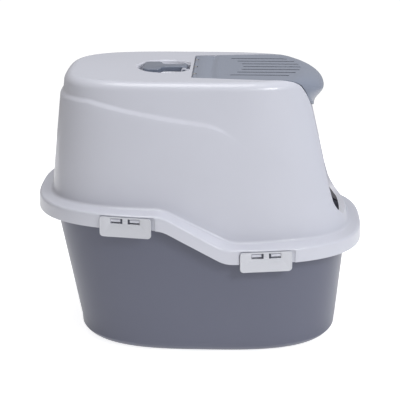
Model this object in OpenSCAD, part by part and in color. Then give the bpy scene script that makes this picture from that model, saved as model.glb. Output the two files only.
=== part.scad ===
// Hooded litter box with a lift-up flap in the hood's top and an open front entrance.
// The front faces +X, +Z is up, left is +Y. The origin is on the floor, under the
// middle of the rim. All sizes are millimetres.

/* [Rim] */
// Length over the rim
rim_l = 557; // [530:1:585]
// Width over the rim
rim_w = 418; // [400:1:440]
// Squareness of the rim in plan, the exponent of its superellipse
rim_n = 2.8; // [2.6:0.05:3]
// Height of the rim's lower edge at the rear
rim_rear_z = 221.5; // [210:0.5:232]
// Height of the rim's lower edge at the front
rim_front_z = 165.5; // [155:0.5:175]
// Where the rim starts to step down
step_rear_x = -57; // [-66:1:-48]
// Where the rim's step ends
step_front_x = 46; // [37:1:55]
// Half length of the rounding at each end of the step
step_round = 12; // [8:1:18]
// Depth of the hood's downturned skirt
skirt_h = 24; // [22:0.5:27]

/* [Walls] */
// Thickness of the hood's and the tub's walls
wall = 2.6; // [2.2:0.1:3]
// Gap between the hood's rim and the tub's rim
rim_gap = 1; // [0.8:0.05:1.4]

/* [Hood] */
// Height of the hood's top face
total_h = 451; // [440:1:465]
// Width of the rim's top in front of the hood's wall
shelf_front = 20.5; // [17:0.5:24]
// Width of the rim's top behind the hood's wall
shelf_rear = 22.5; // [19:0.5:26]
// Width of the rim's top beside the hood's wall
shelf_side = 37; // [33:1:40]
// How far the front wall leans back over each millimetre of height
lean_front = 0.24; // [0.21:0.01:0.27]
// How far the front wall flares out at its foot
foot_flare = 10; // [6:0.5:13]
// Height where the front wall starts to flare out to its foot
foot_flare_z = 255; // [245:1:265]
// How far the rear wall leans in over each millimetre of height
lean_rear = 0.11; // [0.09:0.005:0.135]
// How far each side wall leans in over each millimetre of height
lean_side = 0.11; // [0.09:0.005:0.13]
// Squareness of the hood's top in plan
top_n = 3.4; // [3.1:0.1:3.6]
// Rounding between the walls and the top face
top_r = 15; // [12:1:18]
// How far the panel below the sweeping ledge stands proud
ledge_out = 4.5; // [2:0.5:5]
// Height of the sweeping ledge's slope
ledge_h = 9; // [6:1:12]
// Height of the ledge round the rear of the hood
ledge_z = 414; // [405:1:420]

/* [Openings] */
// Width of the front entrance
entry_w = 168; // [150:1:180]
// Height of the entrance's sill
sill_z = 210; // [203:1:220]
// Corner radius of the entrance
entry_r = 28; // [22:1:38]
// Height where the entrance starts to flare out to the flap
flare_z = 385; // [375:1:395]
// Width of the top opening at its widest
top_open_w = 222; // [212:1:228]
// Width of the top opening at the flap's hinge
hinge_open_w = 190; // [180:1:196]
// Where the top opening's rear edge is
top_open_x = -13; // [-15:0.5:-12]
// Where the top opening reaches its full width
full_w_x = 110; // [100:1:120]
// Depth of the lip round the entrance
lip_d = 10; // [6:0.5:12]
// Width of the seat under the flap's edges
seat_w = 7; // [5:0.5:9]

/* [Flap] */
// Gap round the flap's edges
flap_gap = 1.2; // [0.8:0.1:1.6]
// Thickness of the flap
flap_t = 2.6; // [2.2:0.1:3]
// How far the flap's nose stands out beyond the hood's front
nose_out = 17; // [12:1:20]
// How far behind the top of the hood's front the flap starts to curve down
nose_back = 23.8; // [20:0.2:28]
// Height of the flap's nose from its lower edge to the top face
nose_h = 58; // [50:1:64]
// Height of the flap's nose beside the entrance
nose_side_h = 40; // [34:1:46]
// Number of vent slots
slot_count = 7; // [5:2:7]
// Distance between the vent slots
slot_pitch = 23.5; // [20:0.5:24]
// Width of a vent slot
slot_w = 4; // [2.5:0.5:5]
// How far the middle vent slot runs into the nose
slot_in = 3; // [-5:0.5:7]
// Length of the middle vent slot
slot_l = 94; // [86:1:98]
// Radius of the flap's hinge barrel
flap_barrel_r = 3; // [2.6:0.1:3.2]
// Radius of the flap's hinge rod
flap_rod_r = 1.8; // [1.5:0.1:2]
// Width of each hinge lug on the hood
flap_lug_w = 9; // [7:1:12]
// Distance between the hinge lugs
flap_lug_pitch = 60; // [50:1:66]

/* [Filter] */
// Gap between the filter pad and the start of the flap's nose
pad_in = 1; // [0:0.5:12]
// Width of the filter pad
pad_w = 150; // [140:1:156]
// Thickness of the filter pad
pad_t = 6; // [4:0.5:8]
// Gap between the flap and the filter tray
tray_down = 2.7; // [2.4:0.1:4]
// Wall of the filter tray
tray_t = 1.8; // [1.5:0.1:2.4]
// Rear edge of the filter pad
pad_x = 52; // [50:1:56]
// Number of openings across the tray's floor
tray_cells = 6; // [4:1:8]
// Radius of the tray's hinge pegs
tray_peg_r = 1.6; // [1.4:0.1:1.8]
// Distance from the middle to each of the tray's hinge ears
tray_ear_y = 52; // [44:1:58]

/* [Handle] */
// Length of the handle's pocket
pocket_l = 101; // [96:1:106]
// Width of the handle's pocket
pocket_w = 114; // [104:1:120]
// Depth of the handle's pocket
pocket_d = 22; // [19:0.5:25]
// Rear end of the handle's pocket
pocket_rear_x = -111; // [-116:1:-106]
// Where the pocket's front wall is
pocket_front_x = -18; // [-19:0.5:-17.5]
// Width of the handle's grip
grip_w = 66; // [56:1:72]
// Length of the handle's grip from front to rear
grip_l = 31; // [26:1:34]
// Thickness of the handle's grip
grip_t = 9; // [7:0.5:10]
// Distance from the hinge to the rear of the grip
handle_l = 70; // [64:1:74]
// Width of the handle's stem
stem_w = 15; // [12:1:18]
// Radius of the handle's hinge barrel
handle_barrel_r = 5; // [4:0.25:5.5]
// Length of the handle's hinge barrel
handle_barrel_w = 40; // [34:1:42]
// Radius of the handle's hinge pegs
handle_peg_r = 3; // [2.5:0.1:3.2]
// Distance from the hinge to the pocket's front wall
handle_axis_in = 10; // [8.5:0.5:12]
// How far the grip's top stands above the hood's top face
grip_proud = 1.5; // [0:0.5:3]

/* [Clips] */
// Length of a clip
clip_l = 86; // [78:1:90]
// Height of a clip
clip_h = 34; // [32:0.5:36]
// Thickness of a clip
clip_t = 3; // [2.6:0.1:3.2]
// How far a clip hangs below the rim
clip_drop = 13; // [11:0.5:15]
// Corner radius of a clip
clip_r = 6; // [4:0.5:8]
// Where the rear clips are
clip_rear_x = -116; // [-121:0.5:-110]
// Where the front clips are
clip_front_x = 113; // [108:0.5:119]
// Length of a window in a clip
window_l = 20; // [16:1:24]
// Distance between a clip's two windows
window_gap = 9; // [7:0.5:12]
// Radius of the hood's hinge knuckles in the windows
knuckle_r = 2.6; // [2.3:0.1:2.7]
// Radius of the clips' hinge pins
clip_pin_r = 1.5; // [1.2:0.1:1.7]
// Width of the channel beside each clip
channel_w = 6; // [3:0.5:8]

/* [Tub] */
// How far the front of the tub's flat underside lies inside the rim
base_front_in = 66.5; // [62:0.5:73]
// How far the rear of the tub's flat underside lies inside the rim
base_rear_in = 94.5; // [88:0.5:100]
// How far each side of the tub's flat underside lies inside the rim
base_side_in = 46; // [43:0.5:52]
// Rounding round the tub's underside
base_r = 28; // [25:1:32]
// How far the top of the tub's front and rear walls lies inside the rim
tub_end_in = 24.5; // [22:0.5:30]
// How far the top of the tub's side walls lies inside the rim
tub_side_in = 16.5; // [15:0.5:20]
// How far the tub's rim lies inside the hood's
tub_rim_in = 8; // [8:0.1:9]

/* [Fits] */
// Clearance round each hinge pin and peg
pin_gap = 0.08; // [0.05:0.01:0.1]
// Clearance beside each hinge knuckle
side_gap = 0.5; // [0.3:0.1:0.8]

/* [Hidden] */

white = [0.91, 0.92, 0.94];
tub_grey = [0.36, 0.38, 0.45];
flap_grey = [0.50, 0.52, 0.60];
handle_grey = [0.40, 0.42, 0.50];
carbon = [0.12, 0.12, 0.13];
round_fn = 48;
big = 400;

// Plan curves

function sgn(v) = v < 0 ? -1 : 1;
function clamp01(u) = max(0, min(1, u));
function mix(a, b, u) = a + (b - a) * u;
function ease(u) = let (v = clamp01(u)) v * v * (3 - 2 * v);

// A point of a superellipse, at parameter angle t
function oval(a, b, n, t) = [
    a * sgn(cos(t)) * pow(abs(cos(t)), 2 / n),
    b * sgn(sin(t)) * pow(abs(sin(t)), 2 / n)];

// The parameter angle at which the rim is at x
function rim_angle(x) = acos(sgn(x) * pow(abs(2 * x / rim_l), rim_n / 2));

// Stations round a ring: even angles at the ends, even steps of x along the sides
side_x = 126;
side_step = 14;
corner_count = 11;
side_count = 2 * side_x / side_step;
end_t = rim_angle(side_x);
half_t = concat(
    [for (i = [0 : corner_count - 1]) end_t * i / corner_count],
    [for (i = [0 : side_count]) rim_angle(side_x - side_step * i)],
    [for (i = [corner_count - 1 : -1 : 1]) 180 - end_t * i / corner_count]);
stations = concat(half_t, [for (t = half_t) 180 + t]);

// The rim's step

// A ramp that starts at zero, rounded over the half length r
function soft_ramp(u, r) = u < -r ? 0 : u > r ? u : (u + r) * (u + r) / (4 * r);
step_drop = rim_rear_z - rim_front_z;
step_slope = step_drop / (step_front_x - step_rear_x);
function rim_z(x) = rim_rear_z - step_slope
    * (soft_ramp(x - step_rear_x, step_round) - soft_ramp(x - step_front_x, step_round));

// A ring that follows the rim, inset from its outline
function rim_ring(inset, dz) = [for (t = stations)
    let (p = oval(rim_l / 2 - inset, rim_w / 2 - inset, rim_n, t)) [p.x, p.y, rim_z(p.x) + dz]];

// The hood's wall

foot_front_z = rim_front_z + skirt_h;
foot_rear_z = rim_rear_z + skirt_h;
shoulder_z = total_h - top_r;

function hood_front(z) = rim_l / 2 - shelf_front - lean_front * (z - foot_front_z)
    - foot_flare * (1 - ease((foot_flare_z - z) / (foot_flare_z - foot_front_z)));
function hood_rear(z) = -rim_l / 2 + shelf_rear + ledge_out + lean_rear * (z - foot_rear_z);
function hood_side(z) = rim_w / 2 - shelf_side - lean_side * (z - foot_front_z);
function hood_n(z) = mix(rim_n, top_n, clamp01((z - foot_front_z) / (shoulder_z - foot_front_z)));

// A point of the wall at height z, moved out by the given distance
function hood_point(t, z, out) =
    let (a = (hood_front(z) - hood_rear(z)) / 2, c = (hood_front(z) + hood_rear(z)) / 2,
         p = oval(a + out, hood_side(z) + out, hood_n(z), t)) [c + p.x, p.y, z];

// How far forward the hood's outside reaches at half width y and height z
function hood_x(y, z) =
    let (zw = min(z, shoulder_z), a = (hood_front(zw) - hood_rear(zw)) / 2,
         c = (hood_front(zw) + hood_rear(zw)) / 2,
         in = z > shoulder_z ? top_r - sqrt(max(0, top_r * top_r - pow(z - shoulder_z, 2))) : 0)
    c + (a - in) * pow(1 - pow(min(1, y / (hood_side(zw) - in)), hood_n(zw)), 1 / hood_n(zw));

// The ledge sweeps round the rear, falls along each side and fades out
ledge_full_x = -25;
ledge_end_x = 88;
ledge_fall = 0.17;
ledge_turn_x = 15;
ledge_curl = 0.0055;
ledge_low_z = ledge_z - 96;
function ledge_line(x) = max(ledge_low_z, min(ledge_z, ledge_z - 26 - ledge_fall * (x + 29)
    - ledge_curl * pow(max(0, x - ledge_turn_x), 2)));
function ledge_rise(x) = ledge_out * ease((ledge_end_x - x) / (ledge_end_x - ledge_full_x));

foot_x = [for (t = stations) hood_point(t, foot_rear_z, 0).x];

// Levels: 0 to 1 runs from the rim's shelf to the ledge, 1 to 2 from the ledge to the shoulder
function wall_z(i, level, foot_up) =
    let (x = foot_x[i], foot = rim_z(x) + skirt_h + foot_up, low = ledge_line(x), high = low + ledge_h)
    level <= 1 ? mix(foot, low, level) : mix(high, shoulder_z, level - 1.0001);
function wall_ring(level, grow, foot_up) = [for (i = [0 : len(stations) - 1])
    let (z = wall_z(i, level, foot_up), out = level <= 1 ? ledge_rise(foot_x[i]) : 0)
    hood_point(stations[i], z, out + grow)];
function shoulder_ring(angle, grow) = [for (t = stations)
    let (in = top_r * (1 - cos(angle)), p = hood_point(t, shoulder_z, grow - in))
    [p.x, p.y, shoulder_z + (top_r + grow) * sin(angle)]];

wall_levels = [0.17, 0.36, 0.6, 1, 1.0001, 1.5];
shoulder_angles = [15, 33, 50, 70, 90];
fillet_r = 5;

hood_outer = concat(
    [rim_ring(0, 0), rim_ring(1, skirt_h - 3), rim_ring(1.9, skirt_h - 1), rim_ring(4, skirt_h)],
    [wall_ring(0, fillet_r, 0.2), wall_ring(0, 1.4, 1.4), wall_ring(0, 0, fillet_r)],
    [for (k = wall_levels) wall_ring(k, 0, fillet_r)],
    [for (a = shoulder_angles) shoulder_ring(a, 0)]);
// The same surface, sunk by g all over
function sunk_rings(g) = concat(
    [rim_ring(g, 0), rim_ring(g + 1, skirt_h - g - 1), rim_ring(g + 3, skirt_h - g)],
    [wall_ring(0, fillet_r - g, 0.2 - g), wall_ring(0, -g, fillet_r)],
    [for (k = wall_levels) wall_ring(k, -g, fillet_r)],
    [for (a = shoulder_angles) shoulder_ring(a, -g)]);

// A closed skin over rings of equal length. The first and last rings are flat and capped.
function reversed(list) = [for (i = [len(list) - 1 : -1 : 0]) list[i]];
function joined(lists) = [for (l = lists) each l];
module skin(rings) {
    n = len(rings[0]);
    m = len(rings);
    sides = [for (k = [0 : m - 2], i = [0 : n - 1]) let (j = (i + 1) % n, a = k * n, b = a + n)
        each [[a + i, b + i, b + j], [a + i, b + j, a + j]]];
    bottom = [for (i = [0 : n - 1]) i];
    top = [for (i = [n - 1 : -1 : 0]) (m - 1) * n + i];
    polyhedron(joined(rings), concat(sides, [bottom, top]), convexity = 8);
}

// Tub

base_l = rim_l - base_front_in - base_rear_in;
base_w = rim_w - 2 * base_side_in;
base_x = (base_rear_in - base_front_in) / 2;
tub_end_x = rim_l / 2 - tub_end_in;
tub_top_w = rim_w - 2 * tub_side_in;
tub_wall_z = 24;
tub_wall_front = base_x + base_l / 2 + base_r - 2;
tub_wall_rear = base_x - base_l / 2 - base_r + 2;
tub_wall_side = base_w / 2 + base_r - 2;
tub_rim_h = skirt_h - wall - rim_gap;
tub_lip_up = 1;

function tub_point(t, z, grow) =
    let (uf = (z - tub_wall_z) / (rim_front_z + tub_rim_h - tub_wall_z),
         ur = (z - tub_wall_z) / (rim_rear_z + tub_rim_h - tub_wall_z),
         front = mix(tub_wall_front, tub_end_x, uf), rear = mix(tub_wall_rear, -tub_end_x, ur),
         side = mix(tub_wall_side, tub_top_w / 2, (uf + ur) / 2),
         p = oval((front - rear) / 2 + grow, side + grow, rim_n, t))
    [(front + rear) / 2 + p.x, p.y, z];
// The height is worked out again from where the point really lies, until it stays on the rim
function tub_height(x, u, dz) = mix(tub_wall_z, rim_z(x) + tub_rim_h + dz, u);
function tub_rim_point(t, u, dz, grow, x, rounds) =
    let (p = tub_point(t, tub_height(x, u, dz), grow))
    rounds == 0 ? p : tub_rim_point(t, u, dz, grow, (x + p.x) / 2, rounds - 1);
function tub_ring(u, dz, grow) = [for (t = stations)
    tub_rim_point(t, u, dz, grow, oval(tub_end_x, tub_top_w / 2, rim_n, t).x, 8)];
function base_ring(angle, grow) = [for (t = stations)
    let (r = base_r + grow, out = base_r * sin(angle) + grow * sin(angle),
         p = oval(base_l / 2 + out, base_w / 2 + out, base_n, t))
    [base_x + p.x, p.y, base_r - r * cos(angle)]];

base_n = 3;
base_angles = [0, 22, 44, 62];
tub_rings = concat(
    [for (a = base_angles) base_ring(a, 0)],
    [tub_ring(0, 0, 0), tub_ring(0.5, 0, 0), tub_ring(0.95, -wall, 0)],
    [tub_ring(1, -wall, 1), rim_ring(tub_rim_in + wall, tub_rim_h - wall)],
    [rim_ring(tub_rim_in + wall, tub_lip_up), rim_ring(tub_rim_in, tub_lip_up)],
    [rim_ring(tub_rim_in, tub_rim_h - 1.5), rim_ring(tub_rim_in + 1.5, tub_rim_h)],
    [tub_ring(1, 0, 1.5 - wall), tub_ring(0.95, -wall, -wall), tub_ring(0.5, 0, -wall)],
    [tub_ring(0, 0, -wall)],
    [for (a = reversed(base_angles)) base_ring(a, -wall)]);

module tub() {
    color(tub_grey) skin(tub_rings);
}

// Openings in the hood

module to_front() {
    rotate([90, 0, 90]) children();
}

function open_half(z) = entry_w / 2 + (top_open_w - entry_w) / 2
    * pow(max(0, z - flare_z) / (total_h - flare_z), 2.2);
function top_open_half(x) = mix(hinge_open_w, top_open_w,
    clamp01((x - top_open_x) / (full_w_x - top_open_x))) / 2;

flare_steps = 6;
flare_pts = [for (i = [0 : flare_steps]) let (z = mix(flare_z, total_h, i / flare_steps)) [open_half(z), z]];

// The entrance seen from the front, as Y and Z
module entry_outline() {
    offset(r = entry_r) offset(delta = -entry_r)
        translate([-entry_w / 2, sill_z]) square([entry_w, flare_z - sill_z + entry_r]);
    polygon(concat(
        [[-entry_w / 2, flare_z - entry_r], [entry_w / 2, flare_z - entry_r]], flare_pts,
        [[top_open_w / 2, total_h + 5], [-top_open_w / 2, total_h + 5]],
        [for (p = reversed(flare_pts)) [-p.x, p.y]]));
}

nose_start_x = hood_front(shoulder_z) - nose_back;
edge_turn = nose_start_x - 27;
crease_x = 27;
bow = 3;

// The top opening seen from above, as X and Y
top_cut_x = nose_start_x - 15;
module top_outline() {
    half = [hinge_open_w / 2, top_open_w / 2];
    polygon([[top_open_x, -half[0]], [full_w_x, -half[1]], [top_cut_x, -half[1]],
             [top_cut_x, half[1]], [full_w_x, half[1]], [top_open_x, half[0]]]);
}

entry_rear_x = nose_start_x - 65;
module entry_prism(grow) {
    translate([entry_rear_x, 0, 0]) to_front() linear_extrude(rim_l / 2 - entry_rear_x)
        offset(delta = grow) entry_outline();
}

seat_top_z = total_h - flap_t - 0.5;
lip_top_z = total_h - 20;
side_step_in = 0.3;
module seat() {
    low_z = seat_top_z - wall;
    translate([0, 0, low_z]) linear_extrude(total_h - 1 - low_z) intersection() {
        offset(delta = wall) top_outline();
        translate([top_open_x - wall, -big / 2]) square([top_cut_x - 8 - top_open_x + wall, big]);
    }
}
// The space inside the seat. It takes in all the width at the hinge, at the flap's crease
// and where the flap's edges start to drop.
module seat_hole() {
    translate([0, 0, seat_top_z - 2 * wall]) linear_extrude(3 * wall) {
        intersection() {
            offset(delta = -seat_w) translate([-2 * seat_w, 0]) scale([1.2, 1]) top_outline();
            translate([top_open_x, -big / 2]) square(big);
        }
        translate([top_open_x, side_step_in - hinge_open_w / 2])
            square([2 * flap_barrel_r + 2, hinge_open_w - 2 * side_step_in]);
        intersection() {
            offset(delta = -side_step_in) top_outline();
            union() {
                translate([crease_x - 18, -big / 2]) square([19 + bow, big]);
                translate([edge_turn, -big / 2]) square(big);
            }
        }
    }
}

// Handle pocket

pocket_rx = pocket_l / 2;
pocket_ry = pocket_w / 2;
pocket_cx = pocket_rear_x + pocket_rx;
pocket_lip = 4;
pocket_foot = 8;
pocket_slope = 5;
pocket_sides = 36;
// Pairs of inset and depth, from the top face down to the pocket's floor
pocket_curve = concat(
    [for (a = [90 : -30 : 0]) [pocket_lip * (1 - cos(90 - a)), pocket_lip * (1 - sin(a))]],
    [for (a = [0 : 30 : 90]) [pocket_lip + pocket_slope + pocket_foot * (1 - cos(a)),
                              pocket_d - pocket_foot * (1 - sin(a))]]);
function pocket_ring(inset, z, grow) = [for (i = [0 : pocket_sides - 1])
    let (t = 360 * (i + 0.5) / pocket_sides)
    [cos(t) > 0.8 ? pocket_front_x + grow
        : pocket_cx + (pocket_rx - (cos(t) < 0 ? inset : 0) + grow) * cos(t),
     (pocket_ry - inset + grow) * sin(t), z]];
module pocket(grow, over) {
    skin(reversed(concat(
        [pocket_ring(0, total_h + over, grow)],
        [for (p = pocket_curve) pocket_ring(p[0], total_h - p[1] - grow, grow)])));
}

// Hinge places

flap_axis_z = total_h - flap_barrel_r;
flap_axis_x = top_open_x + 1 + flap_barrel_r;
flap_lug_y = [-flap_lug_pitch, 0, flap_lug_pitch];
flap_barrel_half = hinge_open_w / 2 - flap_gap - 1;
handle_top_z = total_h + grip_proud;
handle_axis_x = pocket_front_x - handle_axis_in;
handle_axis_z = handle_top_z - grip_t + handle_barrel_r - 1.5;
handle_lug_w = 6;

module y_cylinder(r, y0, y1) {
    translate([0, y0, 0]) rotate([-90, 0, 0]) cylinder(r = r, h = y1 - y0, $fn = round_fn);
}

// Clip places. Each clip stands square to the rim at its middle.

clip_names_x = [clip_rear_x, clip_front_x];
function rim_y(x) = rim_w / 2 * pow(1 - pow(abs(2 * x / rim_l), rim_n), 1 / rim_n);
function clip_slope(x) = (rim_y(x + clip_l / 2) - rim_y(x - clip_l / 2)) / clip_l;
// Local axes at a clip: X along it, Y outwards, Z up from the rim's lower edge
module at_clip(x, side) {
    translate([x, side * rim_y(x), rim_z(x)])
        mirror([0, side < 0 ? 1 : 0, 0]) rotate([0, 0, atan(clip_slope(x))]) children();
}

clip_face_y = 1;
clip_back_y = clip_face_y - clip_t;
clip_top_z = clip_h - clip_drop;
pin_y = clip_face_y - knuckle_r - 0.1;
pin_z = clip_top_z - knuckle_r - 3.4;
recess_floor_y = pin_y - knuckle_r - 0.9;
recess_back_y = recess_floor_y - wall + 0.4;
recess_top_z = clip_top_z + 1;
window_up = knuckle_r + 0.7;
window_down = knuckle_r + 2.4;
block_up = 0.6;

module x_cylinder(r, x0, x1) {
    translate([x0, 0, 0]) rotate([0, 90, 0]) cylinder(r = r, h = x1 - x0, $fn = round_fn);
}

// Hood

module clip_block() {
    translate([-clip_l / 2 - wall - 1, recess_back_y, block_up])
        cube([clip_l + channel_w + 2 * wall + 2, 1 - recess_back_y, skirt_h - 1 - block_up]);
}
module clip_recess() {
    translate([-clip_l / 2 - 1, recess_floor_y, -1])
        cube([clip_l + 1 + channel_w, 20, recess_top_z + 1]);
}

module entry_lip() {
    difference() {
        intersection() {
            entry_prism(wall);
            translate([0, -big / 2, 0]) cube([big, big, lip_top_z]);
        }
        skin(sunk_rings(wall + lip_d));
    }
}

module hood() {
    color(white) resize([0, 0, 0]) difference() {
        union() {
            skin(concat(reversed(sunk_rings(wall)), hood_outer));
            intersection() {
                skin(sunk_rings(wall / 2));
                union() {
                    entry_lip();
                    seat();
                    pocket(wall, -1);
                    for (x = clip_names_x, side = [-1, 1]) at_clip(x, side) clip_block();
                }
            }
        }
        entry_prism(0);
        translate([0, 0, seat_top_z]) linear_extrude(40) top_outline();
        seat_hole();
        pocket(0, 1);
        for (x = clip_names_x, side = [-1, 1]) at_clip(x, side) clip_recess();
    }
}

// The knuckles and the pin that a clip turns on
module clip_pin() {
    half_pin = window_gap / 2 + window_l - side_gap;
    color(white) for (side = [-1, 1]) {
        inner = side * (window_gap / 2 + 3.5);
        outer = side * half_pin;
        translate([0, pin_y, pin_z]) x_cylinder(knuckle_r, min(inner, outer), max(inner, outer));
        translate([min(inner, outer), recess_floor_y, pin_z - clip_pin_r])
            cube([abs(outer - inner), pin_y - recess_floor_y, 2 * clip_pin_r]);
    }
    color(white) translate([0, pin_y, pin_z]) x_cylinder(clip_pin_r, -half_pin, half_pin);
}

module flap_mounts() {
    color(white) for (y = flap_lug_y) difference() {
        union() {
            translate([flap_axis_x, 0, flap_axis_z])
                y_cylinder(flap_barrel_r, y - flap_lug_w / 2, y + flap_lug_w / 2);
            translate([top_open_x, y - flap_lug_w / 2, flap_axis_z - flap_barrel_r])
                cube([flap_axis_x - top_open_x, flap_lug_w, flap_barrel_r]);
        }
        translate([flap_axis_x, 0, flap_axis_z])
            y_cylinder(flap_rod_r + pin_gap, y - flap_lug_w, y + flap_lug_w);
    }
}

module handle_mounts() {
    inner = handle_barrel_w / 2 + side_gap;
    outer = inner + handle_lug_w;
    color(white) for (side = [-1, 1]) difference() {
        union() {
            translate([handle_axis_x, 0, handle_axis_z])
                y_cylinder(handle_peg_r + 2.2, side > 0 ? inner : -outer, side > 0 ? outer : -inner);
            translate([handle_axis_x, side > 0 ? inner : -outer, handle_axis_z - 5])
                cube([handle_axis_in, handle_lug_w, 8]);
        }
        translate([handle_axis_x, 0, handle_axis_z])
            y_cylinder(handle_peg_r + pin_gap, -outer - 1, outer + 1);
    }
}

// Flap

crease_d = 2.8;
nose_tip_x = hood_front(total_h - 26) + nose_out;
nose_end_z = total_h - nose_h;
nose_end_x = hood_front(nose_end_z) - 6;

function bezier(p, u) = pow(1 - u, 3) * p[0] + 3 * u * pow(1 - u, 2) * p[1]
    + 3 * u * u * (1 - u) * p[2] + u * u * u * p[3];
neck = [nose_tip_x - 2, total_h - 35];
nose_a = [[nose_start_x, total_h], [nose_start_x + 28, total_h], [nose_tip_x + 10, total_h - 20], neck];
nose_b = [neck, neck + [-7, -9], [nose_end_x, nose_end_z + 12], [nose_end_x, nose_end_z]];

// The flap's middle line as X and Z, from its hinge to the lower edge of its nose
flap_rear_x = flap_axis_x + 3;
mid_line = concat(
    [[flap_rear_x, 0], [8, 0], [13, -crease_d * 0.4], [17, -crease_d * 0.85], [19, -crease_d], [crease_x, 0],
     [mix(crease_x, full_w_x, 0.4), 0], [mix(crease_x, full_w_x, 0.87), 0], [full_w_x, 0], [edge_turn, 0]],
    [for (u = [0 : 0.125 : 1]) bezier(nose_a, u) - [0, total_h]],
    [for (u = [0.2 : 0.2 : 1]) bezier(nose_b, u) - [0, total_h]]);

// The flap's side edge beside each point of the middle line: it keeps to the opening's edge
edge_drop = 2.5;
function edge_at(p) =
    p.x <= edge_turn && p.y > -5 ? [p.x, top_open_half(p.x) - flap_gap, p.y]
    : let (drop = edge_drop * clamp01((p.x - edge_turn) / 20),
           z = total_h + p.y * (nose_side_h - edge_drop) / nose_h - drop,
           y = open_half(z - flap_t * clamp01((p.x - edge_turn) / 8)) - flap_gap)
      [min(hood_x(y, z), p.x) - 0.5, y, z - total_h];
span = [for (i = [-8 : 8]) sgn(i) * pow(abs(i) / 8, 0.85)];
function flap_point(p, v) =
    let (e = edge_at(p), w = pow(abs(v), 2.6), bend = p.x < crease_x + 1 && p.x > 12 ? bow * v * v : 0)
    [mix(p.x, e.x, w) + bend, v * e.y, total_h + mix(p.y, e.z, w)];
function unit(v) = v / norm(v);
function flap_grid() = [for (p = mid_line) [for (v = span) flap_point(p, v)]];
function inner_grid(g) = let (m = len(g), n = len(span)) [for (i = [0 : m - 1]) [for (j = [0 : n - 1])
    let (du = g[min(m - 1, i + 1)][j] - g[max(0, i - 1)][j],
         dv = g[i][min(n - 1, j + 1)] - g[i][max(0, j - 1)])
    g[i][j] - flap_t * unit(cross(du, dv))]];

module sheet(outer, inner) {
    m = len(outer);
    n = len(outer[0]);
    k = m * n;
    top = [for (i = [0 : m - 2], j = [0 : n - 2]) let (a = i * n + j)
        each [[a, a + 1, a + n + 1], [a, a + n + 1, a + n]]];
    under = [for (f = top) [f[2] + k, f[1] + k, f[0] + k]];
    rows = [for (j = [0 : n - 2]) let (a = j, b = (m - 1) * n + j)
        each [[a + 1, a, a + k], [a + 1, a + k, a + k + 1], [b, b + 1, b + k + 1], [b, b + k + 1, b + k]]];
    cols = [for (i = [0 : m - 2]) let (a = i * n, b = a + n - 1)
        each [[a, a + n, a + n + k], [a, a + n + k, a + k], [b + n, b, b + k], [b + n, b + k, b + n + k]]];
    polyhedron(concat(joined(outer), joined(inner)), concat(top, under, rows, cols), convexity = 8);
}

// Each slot's ends step back as the slots near the flap's edges
function slot_front(k) = nose_start_x + slot_in - 2.4 * k * k;
function slot_rear(k) = nose_start_x + slot_in - slot_l - 2.5 * k * k;
module slots() {
    half = (slot_count - 1) / 2;
    for (k = [-half : half]) translate([0, k * slot_pitch, total_h - 10]) {
        translate([slot_rear(k), -slot_w / 2, 0]) cube([slot_front(k) - slot_rear(k), slot_w, 20]);
        translate([slot_rear(k), 0, 0]) cylinder(d = slot_w, h = 20, $fn = 16);
        translate([slot_front(k), 0, 0]) cylinder(d = slot_w, h = 20, $fn = 16);
    }
}

pad_l = nose_start_x - pad_in - pad_x;
tray_rear_x = pad_x - tray_t - 1;
tray_front_x = pad_x + pad_l + tray_t + 1;
tray_half = pad_w / 2 + tray_t + 1;
tray_top_z = total_h - flap_t - tray_down;
tray_floor_z = tray_top_z - pad_t - tray_t - 1;
tray_axis_x = tray_rear_x - 4;
tray_axis_z = tray_top_z - 4;
tray_ear_w = 5;
catch_half = 12;

module flap_barrels() {
    edges = concat([-flap_barrel_half - flap_lug_w / 2 - side_gap], flap_lug_y,
                   [flap_barrel_half + flap_lug_w / 2 + side_gap]);
    for (i = [0 : len(edges) - 2]) {
        y0 = edges[i] + flap_lug_w / 2 + side_gap;
        y1 = edges[i + 1] - flap_lug_w / 2 - side_gap;
        translate([flap_axis_x, 0, flap_axis_z]) y_cylinder(flap_barrel_r, y0, y1);
        translate([flap_axis_x, y0, total_h - flap_t]) cube([5, y1 - y0, flap_t - 0.3]);
    }
    translate([flap_axis_x, 0, flap_axis_z]) y_cylinder(flap_rod_r, -flap_barrel_half, flap_barrel_half);
}

// Ears that hold the filter tray's pegs, and the catch that holds its front edge
module tray_ears() {
    for (y = [-tray_ear_y, tray_ear_y]) difference() {
        union() {
            translate([tray_axis_x, 0, tray_axis_z])
                y_cylinder(tray_peg_r + 1.6, y - tray_ear_w / 2, y + tray_ear_w / 2);
            translate([tray_axis_x - tray_peg_r - 1.6, y - tray_ear_w / 2, tray_axis_z])
                cube([2 * tray_peg_r + 3.2, tray_ear_w, total_h - flap_t / 2 - tray_axis_z]);
        }
        translate([tray_axis_x, 0, tray_axis_z])
            y_cylinder(tray_peg_r + pin_gap, y - tray_ear_w, y + tray_ear_w);
    }
    translate([tray_front_x + 2.4, -catch_half, tray_top_z - 5])
        cube([1.8, 2 * catch_half, total_h - flap_t / 2 - tray_top_z + 5]);
    translate([tray_front_x + 0.6, -catch_half, tray_top_z - 5]) cube([2, 2 * catch_half, 1.5]);
}

module flap() {
    color(flap_grey) union() {
        resize([0, 0, 0]) difference() {
            sheet(flap_grid(), inner_grid(flap_grid()));
            slots();
        }
        flap_barrels();
        tray_ears();
    }
}

// Filter

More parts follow.
